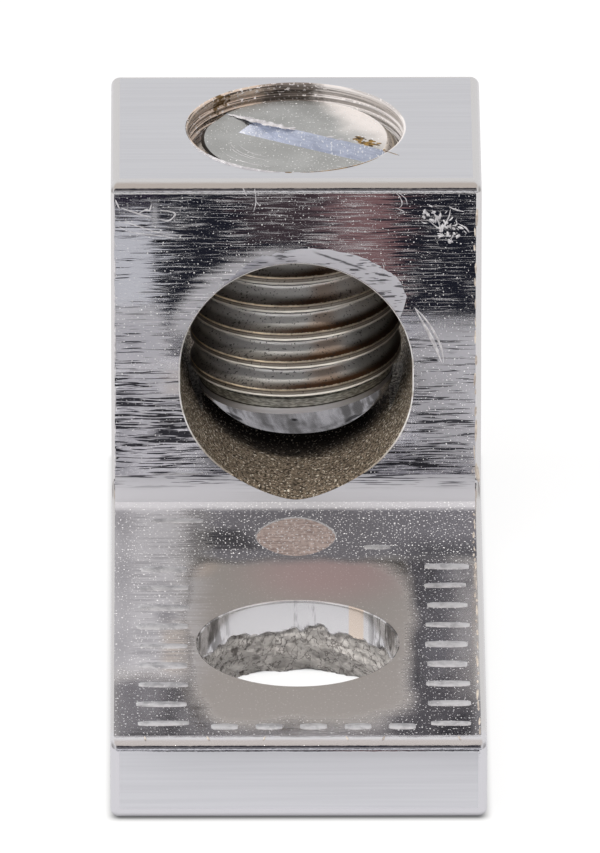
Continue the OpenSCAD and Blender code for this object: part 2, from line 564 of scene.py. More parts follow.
@makeMaterial
def dirty(w, x, y, z):
    crumbs = w.noise((x * 6.0, y * 6.0, z * 6.0), 3.0)
    colour = crumbs.ramp(0.4, 0.6).mix((0.05, 0.03, 0.012), markLook["dirt"])
    return {"Base Color": colour, "Roughness": 0.7}


@makeMaterial
def flatSpot(w, x, y, z):  # shallow flat spot with fine lines across
    lines = w.noise((x * 0.8, y * 14.0, 0.0), 3.0, 0.6) * 0.6
    lines = lines + w.noise((x * 7.0, y * 5.0, 3.0), 2.0) * 0.4
    dots = w.specks((x * 13.0, y * 8.0, 0.0), 0.62)
    bare = lines.ramp(0.36, 0.64).mix((0.27, 0.21, 0.195), (0.58, 0.475, 0.44))
    return {
        "Base Color": dots.mix(bare, markLook["scuff"]),
        "Metallic": 0.35,
        "Roughness": 0.42,
        "Normal": w.bump(lines * 0.012),
    }


print("body materials made")

# the body: one lofted outline with round sides, then the three holes

low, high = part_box("lug_body")
body = {
    "width": (high.x - low.x) / mm,
    "tipY": low.y / mm,
    "backY": high.y / mm,
    "height": high.z / mm,
    "faceY": low.y / mm + 20.0,
    "tongue": 2.9,
    "edge": 0.45,
    "side": 0.3,
    "sharpSide": {-1: 0.12, 1: 0.2},  # left and right of the tongue's top and the front face
    "corner": 0.7,
    "arcSteps": 14,
    "frontEdge": 0.49,
    "late": 2.1,  # the front edges slope gently at first and turn down late
}


def turned(way, angle):
    c, s = math.cos(angle), math.sin(angle)
    return Vector((way.x * c - way.y * s, way.x * s + way.y * c))


def makeBody():
    corners = [
        (body["tipY"], 0.0, body["edge"]),
        (body["tipY"], body["tongue"], body["frontEdge"]),
        (body["faceY"], body["tongue"], body["corner"]),
        (body["faceY"], body["height"], body["frontEdge"]),
        (body["backY"], body["height"], body["edge"]),
        (body["backY"], 0.0, body["edge"]),
    ]
    flats = [0, 3, 2, 0, 0, 0]  # the material after each corner: tip, tongue, face, top, back, base
    points, normals, kinds, sharp, steps = [], [], [], [], body["arcSteps"]
    for i, (y, z, radius) in enumerate(corners):
        before = Vector((y - corners[i - 1][0], z - corners[i - 1][1])).normalized()
        after = Vector((corners[(i + 1) % 6][0] - y, corners[(i + 1) % 6][1] - z)).normalized()
        startNormal = Vector((-before.y, before.x))
        turn = math.copysign(math.pi / 2, before.x * after.y - before.y * after.x)
        late = body["late"] if i in (1, 3) else 1.0
        turns = [turn * (1 - (1 - k / steps) ** late) for k in range(steps + 1)]
        walk = [Vector((0.0, 0.0))]
        for first, second in zip(turns, turns[1:]):
            stride = radius * math.pi / 2 / steps
            walk.append(walk[-1] + turned(before, (first + second) / 2) * stride)
        start = Vector((y, z)) - before * walk[-1].dot(before)
        for k, a in enumerate(turns):
            normal = turned(startNormal, a)
            points.append(start + walk[k])
            normals.append(normal)
            kinds.append((4 if i == 2 else 1) if k < steps else flats[i])
            share = k / steps
            sharp.append({1: share, 2: 1.0, 3: 1.0 - share}.get(i, 0.0))
    sections = [(-1, degrees) for degrees in range(90, -1, -15)]
    sections += [(1, degrees) for degrees in range(0, 91, 15)]
    count = len(points)
    verts, faces, indices = [], [], []
    for sign, degrees in sections:
        a = math.radians(degrees)
        for p, n, share in zip(points, normals, sharp):
            side = body["side"] + (body["sharpSide"][sign] - body["side"]) * share
            inset = side * (1 - math.cos(a))
            x = sign * (body["width"] / 2 - side + side * math.sin(a))
            verts.append((x, p.x - n.x * inset, p.y - n.y * inset))
    for s in range(len(sections) - 1):
        rounded = sections[s][1] or sections[s + 1][1]
        for k in range(count):
            a, b = s * count + k, s * count + (k + 1) % count
            faces.append((a, a + count, b + count, b))
            indices.append(1 if rounded else kinds[k])
    faces.append(tuple(range(count)))
    faces.append(tuple(range(len(sections) * count - 1, (len(sections) - 1) * count - 1, -1)))
    indices += [0, 0]
    return makeObject("lug_plate", verts, faces, [plate, edge, front, tongueTop, corner], indices)


lug = makeBody()
turnOut(lug)

bore = {"width": 7.98, "height": 8.58, "web": 0.06, "lip": 0.045, "dullBelow": 3.65}


def makeBoreCutter():
    radius = bore["width"] / 2
    lowZ = body["tongue"] + bore["web"] + radius
    highZ = lowZ + bore["height"] - bore["width"]
    ring = []
    for start, z in ((0.0, highZ), (math.pi, lowZ)):
        for k in range(97):
            a = start + math.pi * k / 96
            ring.append((math.cos(a), z, math.sin(a)))
    lip = bore["lip"]
    stations = [
        (body["faceY"] - 2.0, radius + lip),
        (body["faceY"], radius + lip),
        (body["faceY"] + lip, radius),
        (body["backY"] - lip, radius),
        (body["backY"], radius + lip),
        (body["backY"] + 1.0, radius + lip),
    ]
    verts = [(r * c, y, middle + r * s) for y, r in stations for c, middle, s in ring]
    faces = hoops(len(stations), len(ring))
    indices = []
    for a, *rest in faces:  # the lips between stations 1 and 2, and 3 and 4
        indices.append(int(a // len(ring) in (1, 3) and verts[a][2] > bore["dullBelow"]))
    return makeObject("boreCutter", verts, faces, [boreWall, rim], indices)


tap = {
    "y": 10.15,
    "radius": 3.7,
    "floor": 4.6,
    "roll": 0.09,
    "ridge": 0.07,
    "ridges": 3,
    "ridgeStep": 0.24,
    "ridgeDepth": 0.88,  # of the lowest one, below the mouth
}


def makeTapCutter():
    top, radius, roll = body["height"], tap["radius"], tap["roll"]
    rows = [(radius, tap["floor"]), (radius, top - tap["ridgeDepth"] - 0.07)]
    for k in range(tap["ridges"]):
        z = top - tap["ridgeDepth"] + k * tap["ridgeStep"]
        rows += [(radius + tap["ridge"], z), (radius + tap["ridge"], z + 0.05)]
        rows += [(radius + 0.01, z + 0.13), (radius + 0.01, z + 0.17)]
    for k in range(7):
        a = math.pi / 2 * k / 6
        rows.append((radius + roll * (1 - math.cos(a)), top - roll * (1 - math.sin(a))))
    rows.append((radius + roll, top + 0.6))
    return revolve("tapCutter", rows, 128, tapWall, tap["y"])


stud = {
    "y": -6.85,
    "radius": 3.40,
    "roll": 0.06,
    "tear": 1.85,  # mean height of the torn break
    "jag": 0.46,
    "slope": 0.35,  # the break climbs towards the barrel
    "border": 0.06,
    "flare": 0.55,
    "crag": (0.07, 0.21),  # mean depth and roughness of the break
}


def tearHeight(angle):  # where the burnished wall ends and the torn break begins
    c, s = math.cos(angle), math.sin(angle)
    swell = wobble(c * 1.9, s * 1.9, 7.0)
    teeth = wobble(c * 4.6, s * 4.6, 3.0)
    teeth += 0.4 * wobble(c * 11.0, s * 11.0, 1.0)
    return stud["tear"] + stud["jag"] * (0.5 * swell + 0.85 * teeth) + stud["slope"] * (s - 0.8)


def tornShare(angle, z):
    return min(1.0, max(0.0, (tearHeight(angle) - z) / stud["border"]))


def studRadius(radius, z, angle):
    torn = tornShare(angle, z)
    c, s = math.cos(angle), math.sin(angle)
    # it broke out furthest towards the barrel
    radius -= 0.5 * (1.0 - s) * stud["flare"] * min(1.0, max(0.0, 1.0 - z)) * 0.6
    if torn <= 0.0 or z < -0.01:
        return radius
    depth, rough = stud["crag"]
    crag = noise.fractal(Vector((c * 5.0, s * 5.0, z * 1.9)), 0.8, 2.1, 4)
    return radius + torn * (depth + rough * crag)


def makeStudCutter():
    thick, roll, radius, flare = body["tongue"], stud["roll"], stud["radius"], stud["flare"]
    rows = [(radius + flare, -0.4), (radius + flare, -0.02)]
    for k in range(57):
        z = (thick - roll) * k / 56
        rows.append((radius + flare * max(0.0, 1.0 - z), z))
    for k in range(1, 9):
        a = math.pi / 2 * k / 8
        rows.append((radius + roll * (1 - math.cos(a)), thick - roll * (1 - math.sin(a))))
    rows.append((radius + roll, thick + 0.4))
    return revolve("studCutter", rows, 288, studWall, stud["y"], studRadius)


spot = {"x": -0.03, "y": 1.73, "reach": (1.40, 1.59), "depth": 0.03, "point": 1.75}


def makeSpotCutter():  # nearly round, slightly pointed left and right
    steps, thick, point = 72, body["tongue"], spot["point"]
    reachX, reachY = spot["reach"]
    levels = [(thick - spot["depth"], 0.965), (thick, 1.0), (thick + 0.3, 1.03)]
    verts = []
    for z, size in levels:
        for k in range(steps):
            a = 2 * math.pi * k / steps
            c, s = math.cos(a), math.sin(a)
            r = size / (abs(c) ** point + abs(s) ** point) ** (1 / point)
            verts.append((spot["x"] + reachX * r * c, spot["y"] + reachY * r * s, z))
    indices = [1] * (2 * steps) + [0, 0]
    return makeObject("spotCutter", verts, hoops(len(levels), steps), [flatSpot, worn], indices)


for makeCutter in (makeBoreCutter, makeTapCutter, makeStudCutter, makeSpotCutter):
    cut(lug, makeCutter())


def markTear():
    spread = lug.data.attributes.new("torn", "FLOAT", "POINT")
    values = []
    for vert in lug.data.vertices:
        x, y, z = vert.co.x / mm, vert.co.y / mm - stud["y"], vert.co.z / mm
        inside = math.hypot(x, y) < stud["radius"] + 0.8 and z < body["tongue"] - 0.1
        values.append(tornShare(math.atan2(y, x), z) if inside else 0.0)
    spread.data.foreach_set("value", values)


markTear()
smooth(lug, 40)
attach(lug, "lug")
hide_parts("lug_body")
print("body made:", len(lug.data.polygons), "faces")

# scratches, scuffs and smears: low ridges of pushed-up metal; the painted highlights along the edges
# are drawn as such ridges too


def onFace(u, v, h):
    return (u, body["faceY"] - h, v)


def onTongue(u, v, h):
    return (u, v, body["tongue"] + h)


def onTop(u, v, h):
    return (u, v, body["height"] + h)


def arc(radius, start, stop, x, y, steps=8):  # points on a circle between two angles in degrees
    angles = [math.radians(start + (stop - start) * k / steps) for k in range(steps + 1)]
    return [(x + radius * math.cos(a), y + radius * math.sin(a)) for a in angles]


def curve(points, steps):  # smooth path through the points
    path = []
    for i in range(len(points) - 1):
        p = [Vector(points[min(max(k, 0), len(points) - 1)]) for k in (i - 1, i, i + 1, i + 2)]
        for k in range(steps):
            t = k / steps
            square = (2 * p[0] - 5 * p[1] + 4 * p[2] - p[3]) * t ** 2
            cube = (3 * p[1] - p[0] - 3 * p[2] + p[3]) * t ** 3
            path.append(0.5 * (2 * p[1] + (p[2] - p[0]) * t + square + cube))
    return path + [Vector(points[-1])]


def makeRidges(name, strokes, place, material, rider="lug"):
    # each stroke is points, width, height and how flat its top is
    verts, faces, sunk = [], [], 0.01
    for points, width, height, flat in strokes:
        steps, blunt, ragged = (24, 0.2, 0.1) if flat > 0.5 else (7, 0.6, 0.35)
        path = curve(points, steps)
        first = len(verts)
        for i, p in enumerate(path):
            along = (path[min(i + 1, len(path) - 1)] - path[max(i - 1, 0)]).normalized()
            across = Vector((-along.y, along.x))
            taper = math.sin(math.pi * (i + 0.4) / (len(path) - 0.2)) ** blunt
            half = width / 2 * taper * (1.0 + ragged * wobble(p.x * 9.0, p.y * 9.0, 2.0))
            top = height * taper
            for share, lift in ((-1.0, -sunk), (-flat, top), (flat, top), (1.0, -sunk)):
                spread = across * (half * share)
                verts.append(place(p.x + spread.x, p.y + spread.y, lift))
        faces += hoops(len(path), 4, first)
    settle(makeObject(name, verts, faces, [material]), 50, rider)


faceMarks = {
    "hair": (0.045, 0.012, 0.2),  # width, height and flatness
    "deep": (0.075, 0.02, 0.2),
    "broad": (0.10, 0.02, 0.3),
    "leaf": [
        [(4.05, 9.92), (4.55, 9.3), (4.94, 8.5), (5.06, 7.85)],
        [(4.05, 9.92), (4.40, 9.20), (4.78, 8.35), (5.02, 7.78)],
        [(4.30, 9.45), (4.62, 8.85), (4.90, 8.2)],
    ],
    "corner": [
        [(-6.19, 13.98), (-6.12, 13.8), (-6.05, 13.64)],
        [(-6.0, 13.67), (-5.41, 13.45), (-4.95, 13.30)],
        [(-5.41, 13.45), (-5.15, 13.59), (-5.02, 13.58), (-4.95, 13.82)],
        [(-4.69, 13.57), (-4.30, 13.53), (-4.14, 13.42), (-4.36, 13.19), (-4.72, 13.25)],
    ],
    "wipe": [
        [(-6.13, 12.99), (-5.63, 12.75), (-4.75, 12.63), (-3.99, 12.51)],
        [(-6.15, 13.08), (-5.8, 13.11), (-5.3, 12.94), (-4.53, 12.70), (-3.44, 12.63)],
    ],
    "top": [
        [(-1.42, 14.38), (-1.38, 13.9), (-1.46, 13.5)],
        [(-1.82, 14.4), (-1.70, 14.1)],
        [(-1.38, 13.92), (-1.24, 13.72)],
        [(3.30, 14.3), (3.52, 14.1), (3.62, 13.8), (3.50, 13.62)],
        [(3.52, 14.2), (3.74, 14.0), (3.80, 13.75)],
        [(3.38, 13.66), (3.70, 13.5), (3.46, 13.44)],
        [(2.75, 11.45), (2.86, 11.26), (3.0, 11.38), (2.95, 11.58)],
    ],
    "knock": [
        [(4.52, 13.2), (4.93, 12.88), (5.2, 13.25), (5.28, 13.62)],
        [(4.66, 13.55), (4.84, 13.2), (4.93, 12.9)],
        [(5.22, 13.70), (5.4, 13.6), (5.75, 13.5)],
        [(5.55, 13.05), (5.8, 12.9), (5.92, 12.72)],
    ],
    "scuffs": 44,
    "seed": 11,
}


def makeFaceMarks():
    draw = random.Random(faceMarks["seed"])
    strokes = []
    sizes = {"knock": "deep", "corner": "deep", "wipe": "hair", "top": "hair", "leaf": "broad"}
    for group, size in sizes.items():
        strokes += [(points, *faceMarks[size]) for points in faceMarks[group]]
    for k in range(faceMarks["scuffs"]):  # the knocked corner
        a, r = draw.uniform(0, 2 * math.pi), draw.uniform(0.0, 1.0) ** 0.6
        u, v = 5.32 + 0.46 * r * math.cos(a), 12.74 + 0.42 * r * math.sin(a)
        if draw.random() < 0.3:
            u, v = draw.uniform(4.35, 5.3), draw.uniform(13.1, 13.75)
        way, size = draw.uniform(0, math.pi), draw.uniform(0.05, 0.13)
        bend = draw.uniform(-0.5, 0.5) * size
        du, dv = size * math.cos(way), size * math.sin(way)
        points = [(u - du, v - dv), (u - dv * bend * 6, v + du * bend * 6), (u + du, v + dv)]
        strokes.append((points, draw.uniform(0.05, 0.13), draw.uniform(0.012, 0.025), 0.3))
    makeRidges("face_scratches", strokes, onFace, scuffsAndEdgeShine)


makeFaceMarks()

smear = {
    "ends": [  # angle and reach
        (128, 0.02), (118, 0.18), (106, 0.40), (90, 0.52), (75, 0.66),
        (58, 0.82), (44, 0.88), (36, 0.66), (29, 0.02),
    ],
    "profile": [(0.0, 0.0), (0.06, 1.0), (0.5, 1.0), (0.9, 0.7), (1.0, -0.4)],  # of reach and height
    "height": 0.010,
}


def makeSmear():  # metal wiped outwards round the top of the bore
    steps, rows = 240, smear["profile"]
    radius = bore["width"] / 2 + bore["lip"]
    centre = body["tongue"] + bore["web"] + bore["height"] - bore["width"] / 2
    ends = smear["ends"]
    verts = []
    for k in range(steps + 1):
        degrees = ends[0][0] + (ends[-1][0] - ends[0][0]) * k / steps
        i = next(n for n in range(len(ends) - 1) if degrees >= ends[n + 1][0])
        share = (degrees - ends[i][0]) / (ends[i + 1][0] - ends[i][0])
        reach = ends[i][1] + (ends[i + 1][1] - ends[i][1]) * share
        a = math.radians(degrees)
        level = (radius + reach) * math.sin(a)
        streaky = 0.5 if degrees > 95 else 0.07
        wavy = 0.08 * wobble(degrees * 0.22, 1.0, 4.0)
        reach *= 1.0 + wavy + streaky * wobble(level * 9.0, 1.0, 4.0)
        sunk = radius + 0.2 * reach
        for out, lift in rows:
            r = radius + 0.01 + reach * out
            verts.append(onFace(r * math.cos(a), centre + r * math.sin(a), smear["height"] * lift))
        verts.append(onFace(sunk * math.cos(a), centre + sunk * math.sin(a), -0.01))
    made = makeObject("rim_smear", verts, hoops(steps + 1, len(rows) + 1), [smeared])
    settle(made, 60, "lug")


makeSmear()

edgeHighlights = {
    "face": {"x": 6.14, "from": 3.2, "way": 1, "size": (0.15, 0.9), "gap": (0.02, 0.5)},
    "tongue": {"x": 6.09, "from": 3.6, "way": -1, "size": (0.2, 0.9), "gap": (0.05, 0.6)},
    "shine": {"x": -6.215, "from": 3.1, "way": 1, "size": (0.3, 1.6), "gap": (0.0, 0.5)},
    "reach": (14.0, 14.13),  # no stroke starts or ends beyond
    "front": (-5.1, -3.1, -1.15, 1.62, 2.9, 5.3),
    # a painted highlight at the fillet's right end
    "chip": [(6.19, 2.98), (6.23, 3.4), (6.2, 3.95)],
    "height": 0.012,
    "seed": 4,
}


def makeEdgeStrokes(draw, run, shake, drift, width):
    strokes, v, way = [], run["from"], run["way"]
    lastStart, lastEnd = edgeHighlights["reach"]
    while v * way < lastStart:
        size = min(draw.uniform(*run["size"]), lastEnd - v * way)
        u = run["x"] + (draw.uniform(-shake, shake) if shake else 0.0)
        ends = [(u, v), (u + draw.uniform(*drift), v + way * size)]
        strokes.append((ends, draw.uniform(*width), edgeHighlights["height"], 0.4))
        v += way * (size + draw.uniform(*run["gap"]))
    return strokes


def makeEdgeHighlights():  # painted highlights: cream-coloured strokes along the right edges, bright ones on the left
    draw, high = random.Random(edgeHighlights["seed"]), edgeHighlights["height"]
    upright = makeEdgeStrokes(draw, edgeHighlights["face"], 0.03, (-0.03, 0.03), (0.05, 0.11))
    lying = makeEdgeStrokes(draw, edgeHighlights["tongue"], 0.03, (-0.03, 0.03), (0.05, 0.11))
    for u in edgeHighlights["front"]:  # over the tongue's front edge
        u += draw.uniform(-0.1, 0.1)
        lying.append(([(u, -14.2), (u + draw.uniform(-0.08, 0.12), -14.48)], 0.07, high, 0.3))
    bright = makeEdgeStrokes(draw, edgeHighlights["shine"], 0.0, (-0.01, 0.02), (0.04, 0.08))
    upright.append((edgeHighlights["chip"], 0.16, 0.02, 0.4))
    # the bright strokes on the left edge are painted highlights
    makeRidges("face_edge_shine", bright, onFace, scuffsAndEdgeShine)
    makeRidges("face_edge_highlights", upright, onFace, creamHighlight)
    makeRidges("tongue_edge_highlights", lying, onTongue, creamHighlight)


makeEdgeHighlights()

plainMarks = {  # plain raised bars
    "right": {"x": (4.40, 5.80), "y": (-0.7, -13.2), "count": 9},
    "left": {"x": (-5.4, -3.75), "y": (-0.9, -13.2), "count": 9},
    "front": {"x": [-2.5, -1.0, 0.5, 2.0, 3.5], "y": -13.45, "length": 0.9},
    "single": [([(-5.0, 3.0), (-3.2, 3.02)], 0.03), ([(2.3, 0.85), (3.2, 0.85)], 0.018)],
    "width": 0.5,
    "height": 0.022,
    "seed": 8,
}


def makePlainMarks():
    draw, height = random.Random(plainMarks["seed"]), plainMarks["height"]
    strokes = [(ends, 0.42, tall, 0.7) for ends, tall in plainMarks["single"]]
    for side in (plainMarks["right"], plainMarks["left"]):
        (u0, u1), (v0, v1), count = side["x"], side["y"], side["count"]
        for k in range(count):
            v = v0 + (v1 - v0) * k / (count - 1)
            start = (u0 + draw.uniform(-0.08, 0.08), v)
            stop = (u1 + draw.uniform(-0.08, 0.08), v + draw.uniform(-0.05, 0.05))
            width = plainMarks["width"] * draw.uniform(0.85, 1.2)
            strokes.append(([start, stop], width, height, 0.7))
    half, v = plainMarks["front"]["length"] / 2, plainMarks["front"]["y"]
    for u in plainMarks["front"]["x"]:
        strokes.append(([(u - half, v), (u + half, v)], 0.55, height, 0.7))
    makeRidges("tongue_bars", strokes, onTongue, worn)


makePlainMarks()

mouthBurr = {
    "from": 200,
    "to": 262,
    "width": 0.14,
    "height": 0.05,
    "stains": [
        ([(3.0, 8.25), (3.06, 8.2)], 0.12),
        ([(3.05, 8.15), (3.3, 7.95), (3.55, 7.75)], 0.06),
    ],
    "arcs": [(244, 248, 0.16), (251, 254, 0.12), (264, 268, 0.10), (272, 318, 0.07)],
}


def makeMouthBurr():  # ragged lip on the front left of the screw's hole, dirt beside it
    path, mouth = [], tap["radius"] + tap["roll"]
    for k in range(24):
        a = math.radians(mouthBurr["from"] + (mouthBurr["to"] - mouthBurr["from"]) * k / 23)
        r = mouth + 0.05 + 0.03 * wobble(k * 0.9, 3.0, 1.0)
        path.append((r * math.cos(a), tap["y"] + r * math.sin(a)))
    strokes = [(path, mouthBurr["width"], mouthBurr["height"], 0.3)]
    makeRidges("mouth_burr", strokes, onTop, scuffsAndEdgeShine)
    stains = [(points, width, 0.008, 0.3) for points, width in mouthBurr["stains"]]
    for start, stop, width in mouthBurr["arcs"]:
        stains.append((arc(mouth + 0.03, start, stop, 0.0, tap["y"]), width, 0.012, 0.3))
    makeRidges("mouth_dirt", stains, onTop, dirty)


makeMouthBurr()
print("marks of wear made")

# the set screw

screw = {
    "y": 10.15,
    "tipZ": 4.0,
    "length": 10.1,
    "major": 3.645,
    "minor": 3.09,
    "pitch": 25.4 / 24,
    "crestZ": 8.22,
    "dome": 3.95,
    "domeZ": 7.15,
    "neck": 3.35,
    "tipHeight": 1.2,
    "leadHeight": 0.55,
    "lean": 0.2,  # rise of the thread's end towards the right
    "leanReach": 2.4,
    "bevel": 0.5,
    "slotWidth": 1.2,
    "slotDepth": 1.6,
    "slotAngle": math.radians(-30),
}
screwTopZ = screw["tipZ"] + screw["length"]
slotAlong = Vector((math.cos(screw["slotAngle"]), math.sin(screw["slotAngle"])))
slotAcross = Vector((-slotAlong.y, slotAlong.x))


def onScrew(u, v, h):
    return (u, v, screwTopZ + h)


threadLook = {
    # near and deep are painted light: dark low on the flank where the lamp lights it, bright higher
    # up where the ridge above shades it
    "near": (0.31, 0.295, 0.27),
    "deep": (0.98, 0.965, 0.93),
    "crest": (0.24, 0.215, 0.18),
    # gold and silver are painted highlights on the crest's edges
    "gold": (0.98, 0.82, 0.58),
    "silver": (0.76, 0.73, 0.66),
    "brown": (0.05, 0.022, 0.009),
    "rose": (0.55, 0.385, 0.28),
    "green": (0.15, 0.155, 0.13),
    "lit": (0.98, 0.90, 0.82),
    "neck": (0.50, 0.49, 0.495),
    "shade": (0.02, 0.018, 0.016),
}


def turnOf(w, x, y, z):  # share of a pitch above the nearest crest below
    angle = w.math("ARCTAN2", y - screw["y"], x)
    start = (screw["crestZ"] / screw["pitch"]) + 0.25
    return w.math("FRACT", z / screw["pitch"] - angle / (2 * math.pi) - start + 40.0)


@makeMaterial
def threadMetal(w, x, y, z):  # painted highlights on the edges of each flat crest, a brown band above it
    turn = turnOf(w, x, y, z)
    stain = w.noise((x * 0.6, y * 0.6, z * 0.7), 3.0)
    dust = w.noise((x * 11.0, y * 11.0, z * 11.0), 3.0)
    grain = w.noise((x * 5.0, y * 5.0, z * 22.0), 2.0)
    rightward = (x + (stain - 0.5) * 2.0).ramp(-1.8, 0.6)
    ragged = turn + (dust - 0.5) * 0.07
    rose = ragged.band(0.10, 0.56, 0.06) * (x + (stain - 0.5) * 1.2).band(0.55, 1.5, 0.35) * 0.75
    brown = ragged.ramp(0.125, 0.145) * (ragged - rightward * 0.07).fall(0.13, 0.27)
    brown = brown * (0.55 + 0.45 * rightward) * (1.0 - z.ramp(8.6, 9.8) * x.ramp(0.6, 2.2) * 0.4)
    brown = brown.top(turn.band(0.028, 0.052, 0.01) * 0.8).top(turn.band(0.95, 0.965, 0.01) * 0.7)
    glint = w.noise((x * 5.0, y * 5.0, z * 2.0), 2.0).ramp(0.38, 0.58)
    # painted highlights on the crest's upper and lower edges, the upper one broken into glints
    gold = turn.band(0.075, 0.132, 0.012) * (1.0 - 0.7 * rightward) * (0.6 + 0.4 * glint)
    silver = turn.band(0.885, 0.94, 0.014)
    shade = turn.band(0.60, 0.872, 0.015)
    # painted light: the flank is painted dark where the lamp lights it and bright where the ridge
    # above shades it
    depth = (turn + (stain - 0.5) * 0.1).ramp(0.26, 0.40)
    colour = depth.mix(threadLook["near"], threadLook["deep"])
    colour = rose.mix(colour, threadLook["rose"])
    upper = z.ramp(8.2, 9.6)
    colour = (x.ramp(1.5, 2.3) * (1.0 - upper) * 0.45).mix(colour, threadLook["green"])
    # painted light on the upper right, where the bore's rim shades the thread
    colour = (x.ramp(0.6, 2.2) * upper * 0.7).mix(colour, threadLook["lit"])
    colour = (turn.ramp(0.88, 0.89) + turn.fall(0.125, 0.14)).mix(colour, threadLook["crest"])
    colour = brown.mix(colour, threadLook["brown"])
    colour = shade.mix(colour, threadLook["shade"])
    grime = (dust + ragged.band(0.12, 0.30, 0.06) * 0.05).ramp(0.61, 0.67) * 0.75
    colour = grime.mix(colour, threadLook["shade"])
    end = z - x * screw["lean"] / screw["major"]
    runOut = grain.ramp(0.4, 0.65).mix((0.24, 0.235, 0.20), (0.56, 0.55, 0.48))
    runOut = end.fall(5.39, 5.43).mix(runOut, threadLook["neck"])
    rings = end.band(5.425, 5.47, 0.012).top(end.band(5.80, 5.86, 0.02))
    runOut = rings.mix(runOut, threadLook["shade"])
    colour = end.fall(5.8, 6.1).mix(colour, runOut)
    return {
        "Base Color": silver.mix(gold.mix(colour, threadLook["gold"]), threadLook["silver"]),
        "Metallic": 0.35 - (gold + silver) * 0.25,
        "Roughness": 0.36 + (dust - 0.5) * 0.1 - (gold + silver) * 0.14,
        "Normal": w.bump(dust * 0.005),
    }


topLook = {
    "colour": (0.58, 0.58, 0.555),
    # shine is a painted reflection on the right end of the top
    "shine": (0.86, 0.80, 0.77),
    "slot": (0.43, 0.47, 0.575),
    "sheen": (0.62, 0.66, 0.765),
}


@makeMaterial
def screwTop(w, x, y, z):
    away = distance((x, 0.0), (y, screw["y"]))
    arcs = w.noise((away * 7.0, x * 0.3, y * 0.3), 2.0)
    shade = w.noise((x * 0.8, y * 0.8, 1.0), 2.0)
    dots = w.specks((x * 15.0, y * 10.0, 0.0), 0.66 - x.ramp(-2.0, 2.5) * 0.02)
    # painted reflection, brighter towards the right end
    shine = (x + (y - screw["y"]) * 0.5 + (shade - 0.5) * 1.5).ramp(1.7, 3.1) * 0.85
    bare = shade.ramp(0.3, 0.7).mix((0.48, 0.48, 0.455), topLook["colour"])
    bare = shine.mix(bare, topLook["shine"])
    return {
        "Base Color": dots.mix(bare, (0.95, 0.95, 0.95)),
        "Metallic": 1.0 - dots.top(shine) * 0.8,
        "Roughness": 0.30,
        "Normal": w.bump(arcs * 0.006 + dots * 0.02),
    }


@makeMaterial
def slotMetal(w, x, y, z):
    scrape = w.noise((x * 2.0, y * 2.0, z * 9.0), 4.0, 0.65)
    dots = w.specks((x * 15.0, y * 12.0, z * 12.0), 0.62)
    bare = scrape.ramp(0.3, 0.7).mix(topLook["slot"], topLook["sheen"])
    return {
        "Base Color": dots.mix(bare, (0.90, 0.91, 0.93)),
        "Metallic": 0.1,
        "Roughness": 0.35,
        "Normal": w.bump(scrape * 0.02),
    }


tipLook = {
    # the tip's painted reflections run between pale and dull
    "pale": (0.455, 0.445, 0.445),
    "dull": (0.15, 0.145, 0.14),
    "lift": 0.34,
    "wave": 0.10,
    "spread": 0.1,
}


@makeMaterial
def tipMetal(w, x, y, z):  # burnished by the conductors it has clamped; its streaks, lighter ends and dark spots low on either side are painted reflections
    wave = w.noise((x * 1.1, y * 1.1, z * 2.2), 3.0) - 0.5
    streak = w.noise((x * 2.2 + z * 0.6, y * 0.4, z * 0.5), 3.0, 0.6) - 0.5
    ends = abs(x + 0.1).ramp(1.2, 2.6)
    across = x * tipLook["spread"]
    radius = distance((across, 0.0), (y, screw["y"]))
    lift = tipLook["lift"] + wave * tipLook["wave"]
    aside = w.vector(across + wave * 0.2, y - screw["y"], radius * lift)
    chip = (distance((x, -0.05), ((z - 4.95) * 1.8, 0.0)) + wave * 0.5).fall(0.08, 0.20)
    darkReflectionSpots = distance((abs(x + 0.07), 2.08), ((z - 4.48) * 1.6, 0.0)) + wave * 0.9
    chipAndDarkReflections = chip.top(darkReflectionSpots.fall(0.22, 0.36) * 0.85)
    tone = (streak * (1.0 + ends * 2.5) + wave * 0.4 + ends * 0.05).ramp(-0.22, 0.26)
    bare = tone.mix(tipLook["dull"], tipLook["pale"])
    return {
        "Base Color": chipAndDarkReflections.mix(bare, (0.03, 0.03, 0.03)),
        "Metallic": 0.9,
        "Roughness": 0.16,
        "Normal": w.node("VectorMath", {"operation": "NORMALIZE"}, {0: aside}),
    }


# shares of a pitch, and of the depth for the hollow
thread = {"crest": 0.12, "hollow": 0.07, "root": (0.52, 0.61)}


def threadDepth(turn):  # 0 at the root, 1 at the edges of the slightly hollow crest
    near, crest, (rootStart, rootEnd) = min(turn, 1.0 - turn), thread["crest"], thread["root"]
    if near < crest:
        return 1.0 - thread["hollow"] * (1.0 - (near / crest) ** 2)
    if turn < rootStart:
        return 1.0 - (turn - crest) / (rootStart - crest)
    if turn < rootEnd:
        return 0.0
    return (turn - rootEnd) / (1.0 - crest - rootEnd)


